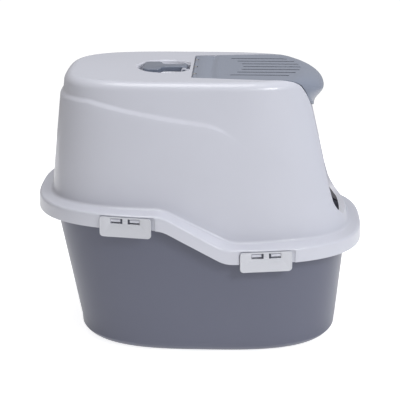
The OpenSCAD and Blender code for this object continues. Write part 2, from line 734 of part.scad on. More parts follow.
module filter_tray() {
    cell = (pad_w - (tray_cells - 1) * tray_t - 8) / tray_cells;
    color(flap_grey) {
        difference() {
            translate([tray_rear_x, -tray_half, tray_floor_z])
                cube([tray_front_x - tray_rear_x, 2 * tray_half, tray_top_z - tray_floor_z]);
            translate([tray_rear_x + tray_t, -tray_half + tray_t, tray_floor_z + tray_t])
                cube([tray_front_x - tray_rear_x - 2 * tray_t, 2 * (tray_half - tray_t), big]);
            for (i = [0 : tray_cells - 1], row = [0, 1])
                translate([pad_x + 4 + row * (pad_l / 2 - 2), -pad_w / 2 + 4 + i * (cell + tray_t),
                           tray_floor_z - 1])
                    cube([pad_l / 2 - 6, cell, tray_t + 2]);
        }
        // Tongue over the catch
        translate([tray_front_x - 0.5, -catch_half, tray_top_z - 3]) cube([2.4, 2 * catch_half, 1.4]);
        // Arms and pegs of the tray's hinge
        for (side = [-1, 1]) {
            y0 = side * (tray_ear_y - tray_ear_w / 2 - side_gap);
            y1 = side * (tray_ear_y + tray_ear_w / 2 + side_gap);
            arm = 4;
            translate([tray_axis_x, 0, tray_axis_z])
                y_cylinder(tray_peg_r, min(y0, y1) - 1, max(y0, y1) + 1);
            for (y = [min(y0, y1) - arm, max(y0, y1)])
                translate([tray_axis_x - tray_peg_r, y, tray_axis_z - tray_peg_r])
                    cube([tray_rear_x - tray_axis_x + tray_peg_r + 0.5, arm, 2 * tray_peg_r]);
        }
    }
}

module filter_pad() {
    color(carbon) translate([pad_x, -pad_w / 2, tray_floor_z + tray_t]) cube([pad_l, pad_w, pad_t]);
}

// Handle

grip_corner_r = 9;
stem_sink = 1;
stem_h = grip_t - 2 * stem_sink - 0.5;
module handle() {
    bar_z = handle_top_z - grip_t;
    grip_x = handle_axis_x - handle_l;
    color(handle_grey) union() {
        translate([grip_x, -grip_w / 2, bar_z]) linear_extrude(grip_t) {
            translate([grip_corner_r, 0]) square([grip_l - 2 * grip_corner_r, grip_w]);
            translate([0, grip_corner_r]) square([grip_l, grip_w - 2 * grip_corner_r]);
            for (x = [grip_corner_r, grip_l - grip_corner_r], y = [grip_corner_r, grip_w - grip_corner_r])
                translate([x, y]) circle(grip_corner_r, $fn = round_fn);
        }
        translate([grip_x + grip_l - 1, -stem_w / 2, bar_z + stem_sink])
            cube([handle_l - grip_l + 1, stem_w, stem_h]);
        translate([handle_axis_x, 0, handle_axis_z])
            y_cylinder(handle_barrel_r, -handle_barrel_w / 2, handle_barrel_w / 2);
        translate([handle_axis_x, 0, handle_axis_z])
            y_cylinder(handle_peg_r, -handle_barrel_w / 2 - handle_lug_w, handle_barrel_w / 2 + handle_lug_w);
    }
}

// Clips

hook_h = 2.2;
hook_reach = tub_rim_in + wall + 1.2;
module clip() {
    color(white) difference() {
        union() {
            difference() {
                translate([0, clip_face_y, -clip_drop]) rotate([90, 0, 0]) linear_extrude(clip_t) union() {
                    translate([-clip_l / 2, clip_r]) square([clip_l, clip_h - clip_r]);
                    translate([-clip_l / 2 + clip_r, 0]) square([clip_l - 2 * clip_r, clip_h]);
                    for (x = [-1, 1]) translate([x * (clip_l / 2 - clip_r), clip_r])
                        circle(clip_r, $fn = round_fn);
                }
                for (side = [-1, 1])
                    translate([side > 0 ? window_gap / 2 : -window_gap / 2 - window_l,
                               clip_back_y - 1, pin_z - window_down])
                        cube([window_l, clip_t + 2, window_down + window_up]);
                // The top of the back is cut away so that the clip can turn
                translate([-clip_l / 2 - 1, clip_back_y, clip_top_z - 2.2]) rotate([45, 0, 0])
                    cube([clip_l + 2, 5, 5]);
            }
            translate([0, pin_y, pin_z]) x_cylinder(knuckle_r, -window_gap / 2, window_gap / 2);
            // The hook under the tub's rim
            translate([-clip_l / 4, -hook_reach, -hook_h - 0.6])
                cube([clip_l / 2, hook_reach + clip_back_y + 0.5, hook_h]);
            translate([-clip_l / 4, -hook_reach, -hook_h - 0.6]) cube([clip_l / 2, 1.6, hook_h + 0.6]);
        }
        translate([0, pin_y, pin_z])
            x_cylinder(clip_pin_r + pin_gap, -window_gap / 2 - 0.2, window_gap / 2 + 0.2);
    }
}

module clip_rear_left() at_clip(clip_rear_x, 1) clip();
module clip_rear_right() at_clip(clip_rear_x, -1) clip();
module clip_front_left() at_clip(clip_front_x, 1) clip();
module clip_front_right() at_clip(clip_front_x, -1) clip();
module clip_pin_rear_left() at_clip(clip_rear_x, 1) clip_pin();
module clip_pin_rear_right() at_clip(clip_rear_x, -1) clip_pin();
module clip_pin_front_left() at_clip(clip_front_x, 1) clip_pin();
module clip_pin_front_right() at_clip(clip_front_x, -1) clip_pin();

tub();
hood();
flap();
flap_mounts();
filter_tray();
filter_pad();
handle();
handle_mounts();
clip_rear_left();
clip_rear_right();
clip_front_left();
clip_front_right();
clip_pin_rear_left();
clip_pin_rear_right();
clip_pin_front_left();
clip_pin_front_right();
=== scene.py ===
import math

import bmesh
import bpy
from mathutils import Matrix, Vector


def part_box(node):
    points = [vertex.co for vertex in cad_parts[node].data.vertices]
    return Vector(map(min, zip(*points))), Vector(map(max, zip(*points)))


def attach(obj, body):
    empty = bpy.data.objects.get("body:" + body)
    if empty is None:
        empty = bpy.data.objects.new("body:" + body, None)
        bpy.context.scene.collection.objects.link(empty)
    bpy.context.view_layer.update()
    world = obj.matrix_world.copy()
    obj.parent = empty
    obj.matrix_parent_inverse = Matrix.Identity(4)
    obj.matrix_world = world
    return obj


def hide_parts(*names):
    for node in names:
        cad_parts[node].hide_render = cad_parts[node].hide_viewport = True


# Hooded litter box with a lift-up flap in its top. Front is +X, left is +Y, up is +Z.
# Sizes in the dictionaries are millimetres; meshes are in metres.

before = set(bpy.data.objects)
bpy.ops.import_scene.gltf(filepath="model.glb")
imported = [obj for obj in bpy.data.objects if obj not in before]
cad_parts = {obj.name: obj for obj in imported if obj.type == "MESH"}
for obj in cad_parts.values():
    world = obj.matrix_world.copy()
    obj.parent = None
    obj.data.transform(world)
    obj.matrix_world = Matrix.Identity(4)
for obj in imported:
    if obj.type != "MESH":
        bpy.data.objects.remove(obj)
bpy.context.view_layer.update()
scene = bpy.context.scene
mm = 0.001


def clamp(u):
    return max(0.0, min(1.0, u))


def mix(a, b, u):
    return a + (b - a) * u


def ease(u):
    v = clamp(u)
    return v * v * (3 - 2 * v)


def signedPower(v, power):
    return math.copysign(abs(v) ** power, v)


# Shapes that several pieces follow

rim = dict(length=557, width=418, power=2.8, rearZ=221.5, frontZ=165.5, stepRear=-57, stepFront=46,
           stepRound=12, skirt=24, edgeRound=4, wall=2.6)
wallShape = dict(top=451, shelfFront=20.5, shelfRear=22.5, shelfSide=37, leanFront=0.24, flare=10,
                 flareTop=255, leanRear=0.11, leanSide=0.11, topPower=3.4, topRound=15, footRound=5)
ledge = dict(out=4.5, height=9, rearZ=414, lowZ=318, fullX=-25, endX=88, drop=26, fall=0.17,
             startX=-29, turnX=15, curl=0.0055)
entry = dict(half=84, sill=210, corner=28, flareZ=385, flarePower=2.2, lip=10, lipFrom=400, lipOver=32)
topHole = dict(rearX=-13, rearHalf=95, fullX=110, fullHalf=111, corner=3)

top = wallShape["top"]
footFront = rim["frontZ"] + rim["skirt"]
footRear = rim["rearZ"] + rim["skirt"]
shoulderZ = top - wallShape["topRound"]


def ovalPoint(a, b, power, t):
    return a * signedPower(math.cos(t), 2 / power), b * signedPower(math.sin(t), 2 / power)


def softRamp(u, r):
    if u < -r:
        return 0
    return u if u > r else (u + r) ** 2 / (4 * r)


def rimZ(x):
    s = rim
    slope = (s["rearZ"] - s["frontZ"]) / (s["stepFront"] - s["stepRear"])
    run = softRamp(x - s["stepRear"], s["stepRound"]) - softRamp(x - s["stepFront"], s["stepRound"])
    return s["rearZ"] - slope * run


def rimY(x):
    return rim["width"] / 2 * (1 - abs(2 * x / rim["length"]) ** rim["power"]) ** (1 / rim["power"])


def frontX(z):
    s = wallShape
    flare = 1 - ease((s["flareTop"] - z) / (s["flareTop"] - footFront))
    return rim["length"] / 2 - s["shelfFront"] - s["leanFront"] * (z - footFront) - s["flare"] * flare


def rearX(z):
    s = wallShape
    return -rim["length"] / 2 + s["shelfRear"] + ledge["out"] + s["leanRear"] * (z - footRear)


def sideY(z):
    return rim["width"] / 2 - wallShape["shelfSide"] - wallShape["leanSide"] * (z - footFront)


def planPower(z):
    return mix(rim["power"], wallShape["topPower"], clamp((z - footFront) / (shoulderZ - footFront)))


def wallPoint(t, z, out):
    a, c = (frontX(z) - rearX(z)) / 2, (frontX(z) + rearX(z)) / 2
    x, y = ovalPoint(a + out, sideY(z) + out, planPower(z), t)
    return c + x, y, z


def hoodFace(y, z):
    # How far forward the hood reaches at this half width and height.
    low = min(z, shoulderZ)
    a, c = (frontX(low) - rearX(low)) / 2, (frontX(low) + rearX(low)) / 2
    r, sunk = wallShape["topRound"], 0
    if z > shoulderZ:
        sunk = r - math.sqrt(max(0, r * r - (z - shoulderZ) ** 2))
    share = min(1, y / (sideY(low) - sunk))
    return c + (a - sunk) * (1 - share ** planPower(low)) ** (1 / planPower(low))


def ledgeLine(x):
    s = ledge
    z = s["rearZ"] - s["drop"] - s["fall"] * (x - s["startX"]) - s["curl"] * max(0, x - s["turnX"]) ** 2
    return max(s["lowZ"], min(s["rearZ"], z))


def ledgeRise(x):
    return ledge["out"] * ease((ledge["endX"] - x) / (ledge["endX"] - ledge["fullX"]))


def jambHalf(z):
    # Half width of the front opening at height z.
    s = entry
    if z >= s["flareZ"]:
        u = (z - s["flareZ"]) / (wallShape["top"] - s["flareZ"])
        return s["half"] + (topHole["fullHalf"] - s["half"]) * u ** s["flarePower"]
    above = clamp((z - s["sill"]) / s["corner"])
    return s["half"] - s["corner"] * (1 - math.sqrt(1 - (1 - above) ** 2))


def topHalf(x):
    s = topHole
    return mix(s["rearHalf"], s["fullHalf"], clamp((x - s["rearX"]) / (s["fullX"] - s["rearX"])))


# Mesh tools


def gridSheet(mesh, rows, cols, place):
    # A grid of rows and cols cells whose corners are where place(row, col) says.
    made = bmesh.ops.create_grid(mesh, x_segments=cols, y_segments=rows, size=1)["verts"]
    corners = {}
    for v in made:
        row, col = round((v.co.y + 1) / 2 * rows), round((v.co.x + 1) / 2 * cols)
        v.co = Vector(place(row, col)) * mm
        corners[row, col] = v
    return corners


def faceOutwards(mesh, inside):
    # Makes every face agree, and the whole face away from a point inside it.
    bmesh.ops.recalc_face_normals(mesh, faces=mesh.faces)
    middle = Vector(inside) * mm
    facing = sum(f.normal.dot(f.calc_center_median() - middle) * f.calc_area() for f in mesh.faces)
    if facing < 0:
        bmesh.ops.reverse_faces(mesh, faces=mesh.faces)


def toObject(name, mesh):
    data = bpy.data.meshes.new(name)
    mesh.to_mesh(data)
    mesh.free()
    made = bpy.data.objects.new(name, data)
    scene.collection.objects.link(made)
    return made


def bake(made):
    # Applies every modifier of an object.
    data = bpy.data.meshes.new_from_object(made.evaluated_get(bpy.context.evaluated_depsgraph_get()))
    made.modifiers.clear()
    made.data = data
    return made


def combine(made, operation, others):
    # Joins, cuts or crosses an object with others, which are used up.
    for other in others:
        step = made.modifiers.new("combine", "BOOLEAN")
        step.operation, step.object, step.solver = operation, other, "EXACT"
    bake(made)
    for other in others:
        bpy.data.objects.remove(other)
    return made


def thicken(made, thickness):
    step = made.modifiers.new("wall", "SOLIDIFY")
    step.thickness, step.offset, step.use_even_offset = thickness * mm, -1, True
    return bake(made)


def roundEdges(made, width, least=40, segments=2, where=None):
    # Rounds the edges that turn by more than least degrees.
    mesh = bmesh.new()
    mesh.from_mesh(made.data)
    bmesh.ops.remove_doubles(mesh, verts=mesh.verts, dist=0.02 * mm)
    chosen = [e for e in mesh.edges if len(e.link_faces) == 2
              and e.calc_face_angle(0) > math.radians(least)
              and (where is None or where((e.verts[0].co + e.verts[1].co) / 2 / mm))]
    bmesh.ops.bevel(mesh, geom=chosen, offset=width * mm, segments=segments, profile=0.5,
                    affect="EDGES", clamp_overlap=True, material=-1)
    mesh.to_mesh(made.data)
    mesh.free()
    return made


def joined(name, parts):
    # One object from several that touch.
    mesh = bmesh.new()
    for part in parts:
        mesh.from_mesh(part.data)
        bpy.data.objects.remove(part)
    return toObject(name, mesh)


def dressed(made, material, body, stands=(), smooth=35):
    # Shades a finished piece, gives it its material and its body, and hides the nodes that it stands for.
    made.data.materials.clear()
    made.data.materials.append(material)
    made.data.shade_smooth()
    made.data.set_sharp_from_angle(angle=math.radians(smooth))
    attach(made, body)
    if stands:
        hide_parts(*stands)
    return made


def dressNode(name, material):
    # Gives a plain node of the frame its material.
    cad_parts[name].data.materials.clear()
    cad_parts[name].data.materials.append(material)


def roundBox(name, low, high, edge=0.8, segments=2, turn=None):
    # A box between two corners with rounded edges.
    mesh = bmesh.new()
    bmesh.ops.create_cube(mesh, size=1)
    low, high = Vector(low), Vector(high)
    bmesh.ops.scale(mesh, vec=(high - low) * mm, verts=mesh.verts)
    if edge:
        bmesh.ops.bevel(mesh, geom=mesh.edges[:], offset=edge * mm, segments=segments, profile=0.5,
                        affect="EDGES", clamp_overlap=True, material=-1)
    bmesh.ops.translate(mesh, vec=(low + high) / 2 * mm, verts=mesh.verts)
    if turn:
        bmesh.ops.transform(mesh, matrix=turn, verts=mesh.verts)
        bmesh.ops.recalc_face_normals(mesh, faces=mesh.faces)
    return toObject(name, mesh)


def rod(name, radius, start, end, edge=0.3, segments=40):
    # A round bar from start to end with rounded ends.
    mesh = bmesh.new()
    a, b = Vector(start) * mm, Vector(end) * mm
    bmesh.ops.create_cone(mesh, cap_ends=True, segments=segments, radius1=radius * mm,
                          radius2=radius * mm, depth=(b - a).length)
    if edge:
        ends = [e for e in mesh.edges if e.calc_face_angle(0) > 1]
        bmesh.ops.bevel(mesh, geom=ends, offset=edge * mm, segments=2, profile=0.5,
                        affect="EDGES", clamp_overlap=True, material=-1)
    aim = Matrix.Translation((a + b) / 2) @ (b - a).to_track_quat("Z", "Y").to_matrix().to_4x4()
    bmesh.ops.transform(mesh, matrix=aim, verts=mesh.verts)
    bmesh.ops.recalc_face_normals(mesh, faces=mesh.faces)
    return toObject(name, mesh)


def raisedOutline(name, outline, low, high, turn=None, shape=None):
    # A flat outline in X and Y raised from low to high. shape may work on its upper face.
    mesh = bmesh.new()
    ring = bmesh.ops.create_circle(mesh, cap_ends=True, segments=len(outline), radius=1)["verts"]
    for v, p in zip(ring, outline):
        v.co = Vector((p[0], p[1], low)) * mm
    raised = bmesh.ops.extrude_face_region(mesh, geom=mesh.faces[:])["geom"]
    bmesh.ops.translate(mesh, vec=(0, 0, (high - low) * mm),
                        verts=[g for g in raised if isinstance(g, bmesh.types.BMVert)])
    if shape:
        bmesh.ops.recalc_face_normals(mesh, faces=mesh.faces)
        shape(mesh, [g for g in raised if isinstance(g, bmesh.types.BMFace)])
    if turn:
        bmesh.ops.transform(mesh, matrix=turn, verts=mesh.verts)
    bmesh.ops.recalc_face_normals(mesh, faces=mesh.faces)
    return toObject(name, mesh)


def roundedOutline(left, right, low, high, radii, steps=6):
    # A rectangle's outline with its own radius at each corner, from the low left one round.
    corners = [(left, low, 180), (right, low, 270), (right, high, 0), (left, high, 90)]
    found = []
    for (x, y, start), r in zip(corners, radii):
        cx, cy = x + (r if x == left else -r), y + (r if y == low else -r)
        for k in range(steps + 1):
            a = math.radians(start + 90 * k / steps)
            found.append((cx + r * math.cos(a), cy + r * math.sin(a)))
    return found


# Materials


def link(tree, source, output, target, name):
    tree.links.new(source.outputs[output], target.inputs[name])


def addNode(tree, kind, values=()):
    made = tree.nodes.new("ShaderNode" + kind)
    for name, value in dict(values).items():
        made.inputs[name].default_value = value
    return made


def plasticGroup():
    # Shared finish of the moulded plastics: colour, roughness and a very fine surface.
    tree = bpy.data.node_groups.new("mouldedPlastic", "ShaderNodeTree")
    io = tree.interface
    tint = io.new_socket("Tint", in_out="INPUT", socket_type="NodeSocketColor")
    tint.default_value = (0.8, 0.8, 0.8, 1)
    gloss = io.new_socket("Roughness", in_out="INPUT", socket_type="NodeSocketFloat")
    gloss.default_value = 0.3
    io.new_socket("Color", in_out="OUTPUT", socket_type="NodeSocketColor")
    io.new_socket("Roughness", in_out="OUTPUT", socket_type="NodeSocketFloat")
    io.new_socket("Normal", in_out="OUTPUT", socket_type="NodeSocketVector")
    nodes = tree.nodes
    start, end = nodes.new("NodeGroupInput"), nodes.new("NodeGroupOutput")
    place = addNode(tree, "TexCoord")

    cloud = addNode(tree, "TexNoise", {"Scale": 9, "Detail": 3})
    link(tree, place, "Object", cloud, "Vector")
    shade = addNode(tree, "MapRange", {"From Min": 0.3, "From Max": 0.7, "To Min": 0.985, "To Max": 1.012})
    link(tree, cloud, "Fac", shade, "Value")
    tone = addNode(tree, "HueSaturation")
    link(tree, start, "Tint", tone, "Color")
    link(tree, shade, "Result", tone, "Value")
    link(tree, tone, "Color", end, "Color")

    flow = addNode(tree, "TexNoise", {"Scale": 34, "Detail": 5})
    link(tree, place, "Object", flow, "Vector")
    spread = addNode(tree, "MapRange", {"To Min": -0.025, "To Max": 0.025})
    link(tree, flow, "Fac", spread, "Value")
    rough = addNode(tree, "Math")
    rough.operation = "ADD"
    tree.links.new(start.outputs["Roughness"], rough.inputs[0])
    tree.links.new(spread.outputs["Result"], rough.inputs[1])
    tree.links.new(rough.outputs[0], end.inputs["Roughness"])

    grain = addNode(tree, "TexNoise", {"Scale": 900, "Detail": 4})
    link(tree, place, "Object", grain, "Vector")
    wave = addNode(tree, "TexNoise", {"Scale": 14})
    link(tree, place, "Object", wave, "Vector")
    fine = addNode(tree, "Bump", {"Strength": 0.03, "Distance": 0.0002})
    link(tree, grain, "Fac", fine, "Height")
    broad = addNode(tree, "Bump", {"Strength": 0.03, "Distance": 0.002})
    link(tree, wave, "Fac", broad, "Height")
    link(tree, fine, "Normal", broad, "Normal")
    link(tree, broad, "Normal", end, "Normal")
    return tree


plasticLook = plasticGroup()


def plastic(name, color, roughness, coat=0.0):
    made = bpy.data.materials.new(name)
    made.use_nodes = True
    tree = made.node_tree
    shader = tree.nodes["Principled BSDF"]
    look = tree.nodes.new("ShaderNodeGroup")
    look.node_tree = plasticLook
    look.inputs["Tint"].default_value = (*color, 1)
    look.inputs["Roughness"].default_value = roughness
    link(tree, look, "Color", shader, "Base Color")
    link(tree, look, "Roughness", shader, "Roughness")
    link(tree, look, "Normal", shader, "Normal")
    shader.inputs["IOR"].default_value = 1.49
    shader.inputs["Coat Weight"].default_value = coat
    shader.inputs["Coat Roughness"].default_value = 0.12
    return made


def foam(name, color):
    made = bpy.data.materials.new(name)
    made.use_nodes = True
    tree = made.node_tree
    shader = tree.nodes["Principled BSDF"]
    place = tree.nodes.new("ShaderNodeTexCoord")
    cells = tree.nodes.new("ShaderNodeTexVoronoi")
    cells.inputs["Scale"].default_value = 420
    link(tree, place, "Object", cells, "Vector")
    shade = tree.nodes.new("ShaderNodeValToRGB")
    shade.color_ramp.elements[0].color = (*[c * 2.2 for c in color], 1)
    shade.color_ramp.elements[1].color = (*[c * 0.4 for c in color], 1)
    shade.color_ramp.elements[1].position = 0.7
    link(tree, cells, "Distance", shade, "Fac")
    link(tree, shade, "Color", shader, "Base Color")
    bump = tree.nodes.new("ShaderNodeBump")
    bump.invert = True
    bump.inputs["Strength"].default_value = 0.9
    bump.inputs["Distance"].default_value = 0.0012
    link(tree, cells, "Distance", bump, "Height")
    link(tree, bump, "Normal", shader, "Normal")
    shader.inputs["Roughness"].default_value = 0.95
    return made


whitePlastic = plastic("whitePlastic", (0.61, 0.62, 0.68), 0.35, coat=0.35)
clipPlastic = plastic("clipPlastic", (0.62, 0.63, 0.67), 0.34, coat=0.05)
# Dark warm grey for the hinge mounts on the hood: painted shade of the gap under the flap's hinge
hingeGapShade = plastic("hingeGapShade", (0.30, 0.29, 0.28), 0.4)
tubPlastic = plastic("tubPlastic", (0.125, 0.133, 0.182), 0.32, coat=0.05)
flapPlastic = plastic("flapPlastic", (0.235, 0.262, 0.325), 0.33, coat=0.2)
# Near black for the slot walls and for the blocks in the clips' windows: painted shade
slotShadePaint = plastic("slotShadePaint", (0.05, 0.053, 0.075), 0.5)
handlePlastic = plastic("handlePlastic", (0.15, 0.172, 0.225), 0.33, coat=0.4)
filterFoam = foam("filterFoam", (0.03, 0.03, 0.033))
print("materials made")


# Hood

hoodMesh = dict(frontCols=10, backCols=112, cornerSteps=8, ledgeSteps=6, shoulderSteps=8, footLevels=(10, 17),
                wallLevels=(264, 284, 302, 312), topInset=2,
                upperLevels=(334, 350, 368, 385, 396, 406, 415, 423, 430),
                edgeXs=(145, 138, 130, 120, 110, 95, 80, 65, 50, 35, 20, 5), edgeYs=(70, 45, 20))


def ringAngles(a, b, power, half):
    # Angles from the front round to the rear: even in width up to the jamb, then even in length.
    n, m, fine = hoodMesh["frontCols"], hoodMesh["backCols"], 700
    front = [math.asin(clamp(half * k / n / b) ** (power / 2)) for k in range(n + 1)]
    angles = [mix(front[-1], math.pi, k / fine) for k in range(fine + 1)]
    points = [ovalPoint(a, b, power, t) for t in angles]
    lengths = [0.0]
    for p, q in zip(points, points[1:]):
        lengths.append(lengths[-1] + math.hypot(q[0] - p[0], q[1] - p[1]))
    back, i = [], 0
    for k in range(1, m + 1):
        want = lengths[-1] * k / m
        while i < fine - 1 and lengths[i + 1] < want:
            i += 1
        back.append(mix(angles[i], angles[i + 1], clamp((want - lengths[i]) / (lengths[i + 1] - lengths[i]))))
    return front + back


def wholeRing(angles, place):
    # Points all the way round: the second half mirrors the first, and the last point is the first.
    half = [place(t) for t in angles]
    return half + [(x, -y, z) for x, y, z in reversed(half[:-1])]


def rimRing(inset, up):
    a, b = rim["length"] / 2 - inset, rim["width"] / 2 - inset

    def place(t):
        x, y = ovalPoint(a, b, rim["power"], t)
        return x, y, rimZ(x) + up
    return wholeRing(ringAngles(a, b, rim["power"], jambHalf(0)), place)


def wallRing(height, level, out=0, share=None):
    # A ring of the wall: height is where its front is. level runs from 0 at the foot to 1 at the
    # ledge and 2 at the shoulder, share up the ledge itself, and out is the reach of the fillet.
    def place(t):
        x = wallPoint(t, footRear, 0)[0]
        foot, low = rimZ(x) + rim["skirt"], ledgeLine(x)
        if share is not None:
            return wallPoint(t, low + ledge["height"] * share, ledgeRise(x) * (1 - ease(share)))
        if level > 1:
            return wallPoint(t, mix(low + ledge["height"], shoulderZ, level - 1), 0)
        z = mix(foot, low, level) if level > 0 else foot + height - footFront
        return wallPoint(t, z, ledgeRise(x) + out)
    a, b = (frontX(height) - rearX(height)) / 2, sideY(height)
    return wholeRing(ringAngles(a, b, planPower(height), jambHalf(height)), place)


def shoulderRing(angle, further=0):
    r = wallShape["topRound"]
    z, sunk = shoulderZ + r * math.sin(angle), r * (1 - math.cos(angle)) + further
    a, b = (frontX(shoulderZ) - rearX(shoulderZ)) / 2 - sunk, sideY(shoulderZ) - sunk

    def place(t):
        x, y, _ = wallPoint(t, shoulderZ, -sunk)
        return x, y, z
    return wholeRing(ringAngles(a, b, planPower(shoulderZ), jambHalf(z)), place)


def hoodRings():
    # The hood's outside from the skirt's lower edge to the top face, and the number of the sill's ring.
    r, f, skirt = rim["edgeRound"], wallShape["footRound"], rim["skirt"]
    rings = [rimRing(0, 0), rimRing(0.3, 8), rimRing(0.6, skirt - r - 1)]
    for k in range(6):
        a = math.radians(18 * k)
        rings.append(rimRing(0.7 + r * (1 - math.cos(a)), skirt - r * (1 - math.sin(a))))
    for k in range(6):
        a = math.radians(18 * k)
        rings.append(wallRing(footFront + f * (1 - math.cos(a)) + 0.01, 0, f * (1 - math.sin(a))))
    low, high = ledge["lowZ"], ledge["lowZ"] + ledge["height"]
    steps, corner = hoodMesh["cornerSteps"], entry["corner"]
    levels = [footFront + up for up in hoodMesh["footLevels"]] + [entry["sill"]]
    levels += [entry["sill"] + corner * (1 - math.cos(math.pi / 2 * k / steps)) for k in range(1, steps + 1)]
    levels += hoodMesh["wallLevels"]
    sillRing = len(rings) + 2
    rings += [wallRing(z, (z - footFront) / (low - footFront)) for z in levels]
    for k in range(hoodMesh["ledgeSteps"] + 1):
        share = k / hoodMesh["ledgeSteps"]
        rings.append(wallRing(low + ledge["height"] * share, 1, share=share))
    for z in (*hoodMesh["upperLevels"], shoulderZ):
        rings.append(wallRing(z, 1 + (z - high) / (shoulderZ - high)))
    for k in range(1, hoodMesh["shoulderSteps"] + 1):
        rings.append(shoulderRing(math.pi / 2 * k / hoodMesh["shoulderSteps"]))
    rings.append(shoulderRing(math.pi / 2, further=hoodMesh["topInset"]))
    return rings, sillRing


pocket = dict(rearX=-111, frontX=-18, length=101, width=114, depth=22, lip=4, slope=5, foot=8, sides=132,
              straightFrom=0.7, straightOver=0.119, overlap=1.5)


def pocketRing(inset, z):
    # The pocket's outline: an oval at the rear that runs out into a straight front.
    s = pocket
    rx, ry, cx = s["length"] / 2, s["width"] / 2 - inset, s["rearX"] + s["length"] / 2
    front, found = s["frontX"] + max(0, -inset), []
    for k in range(s["sides"]):
        t = 2 * math.pi * (k + 0.5) / s["sides"]
        x = cx + (rx - (inset if math.cos(t) < 0 else 0)) * math.cos(t)
        past = math.cos(t) - s["straightFrom"]
        if past > 0:
            x = mix(cx + s["straightFrom"] * rx, front, min(1, past / s["straightOver"]))
        found.append((x, ry * math.sin(t), z))
    return found


def topEdge(start):
    # The top opening's edge from its front left end back, across and forward again.
    s, r = topHole, topHole["corner"]
    half = [(x, topHalf(x)) for x in hoodMesh["edgeXs"] if x < start - 3]
    half += [(s["rearX"] + r * (1 - math.sin(a)), s["rearHalf"] - r * (1 - math.cos(a)))
             for a in (math.pi / 2 * k / 5 for k in range(6))]
    half += [(s["rearX"], y) for y in hoodMesh["edgeYs"]]
    return half + [(x, -y) for x, y in reversed(half)]


def makeHoodShell():
    rings, sillRing = hoodRings()
    cols, rows, n = len(rings[0]) - 1, len(rings) - 1, hoodMesh["frontCols"]
    mesh = bmesh.new()
    at = gridSheet(mesh, rows, cols, lambda row, col: rings[row][col])

    # The open front
    spot = {v: key for key, v in at.items()}
    front = []
    for f in mesh.faces:
        spots = [spot[v] for v in f.verts]
        if min(row for row, _ in spots) >= sillRing and max(min(col, cols - col) for _, col in spots) <= n:
            front.append(f)
    bmesh.ops.delete(mesh, geom=front, context="FACES")
    at = {key: v for key, v in at.items() if v.is_valid}

    # The flat top, with its opening and the handle's pocket
    hole = [mesh.verts.new(Vector((x, y, top)) * mm) for x, y in topEdge(at[rows, n].co.x / mm)]
    chain = [at[rows, n]] + hole + [at[rows, cols - n]]
    border = [mesh.edges.new(pair) for pair in zip(chain, chain[1:])]
    border += [mesh.edges.get((at[rows, col], at[rows, col + 1])) for col in range(n, cols - n)]
    s = pocket
    steps = [(-s["overlap"], 0)] + [(s["lip"] * math.sin(a), s["lip"] * (1 - math.cos(a)))
                           for a in (math.pi / 10 * k for k in range(6))]
    foot = [math.pi / 12 * k for k in range(7)]
    steps += [(s["lip"] + s["slope"] + s["foot"] * (1 - math.cos(a)),
               s["depth"] - s["foot"] * (1 - math.sin(a))) for a in foot]
    loops = [[mesh.verts.new(Vector(p) * mm) for p in pocketRing(inset, top - depth)]
             for inset, depth in steps]
    bands = [[mesh.edges.new((loop[k - 1], loop[k])) for k in range(len(loop))] for loop in loops]
    for upper, lower in zip(bands, bands[1:]):
        bmesh.ops.bridge_loops(mesh, edges=upper + lower)
    bmesh.ops.contextual_create(mesh, geom=bands[-1])
    bmesh.ops.triangle_fill(mesh, use_beauty=True, use_dissolve=False, edges=border + bands[0],
                            normal=(0, 0, 1))
    bmesh.ops.remove_doubles(mesh, verts=mesh.verts, dist=0.01 * mm)

    # The lip round the entrance turns inwards, and dies out under the flap
    lipEnd = entry["lipFrom"] + entry["lipOver"]
    jambs = [e for e in mesh.edges if e.is_boundary and e.verts[0].co.z > entry["sill"] * mm - 0.0005
             and max(v.co.z for v in e.verts) < lipEnd * mm and e.verts[0].co.x > 100 * mm]
    for v in bmesh.ops.extrude_edge_only(mesh, edges=jambs)["geom"]:
        if isinstance(v, bmesh.types.BMVert):
            fade = ease((v.co.z / mm - entry["lipFrom"]) / entry["lipOver"])
            v.co.x -= max(0.3, entry["lip"] * (1 - fade)) * mm
    faceOutwards(mesh, (0, 0, 250))
    return thicken(toObject("hoodShell", mesh), rim["wall"])


# Clips and the bays that they sit in

clip = dict(length=86, height=34, thick=3, drop=13, corner=6, topCorner=5.5, rearX=-116, frontX=113,
            window=20, windowGap=9, windowRound=1.2, windowBelow=2.4, windowAbove=0.7, knuckle=2.6,
            channel=6, face=1, border=1.6, step=0.5, sunk=0.35, edge=0.5, hookOut=9.2, hookLow=-2.8,
            hookHigh=-0.6, hookLip=1.6, relief=2.3, reliefSize=5, shadeBlock=3.2, shadeBlockBack=1.7, shadeBlockSunk=0.6)
bay = dict(margin=3.6, wall=2.2, foot=0.6, play=1, over=0.7, round=4, footRound=0.5, depth=20, edge=0.7)
clipBack = clip["face"] - clip["thick"]
clipTop = clip["height"] - clip["drop"]
pinY = clip["face"] - clip["knuckle"] - 0.1
pinZ = clipTop - clip["knuckle"] - 3.4
bayFloorY = pinY - clip["knuckle"] - 0.9


def clipPlace(x, side):
    # Turns a clip's own axes (X along it, Y out of the hood, Z up) to where it is.
    half = clip["length"] / 2
    turn = math.atan((rimY(x + half) - rimY(x - half)) / clip["length"])
    flip = Matrix.Diagonal((1, side, 1, 1))
    spot = Vector((x, side * rimY(x), rimZ(x))) * mm
    return Matrix.Translation(spot) @ flip @ Matrix.Rotation(turn, 4, "Z")


clipSpots = [(end + sideName, clipPlace(clip[end + "X"], side))
             for end in ("rear", "front") for sideName, side in (("Left", 1), ("Right", -1))]
clipNodes = dict(rearLeft="clip_rear_left", rearRight="clip_rear_right",
                 frontLeft="clip_front_left", frontRight="clip_front_right")


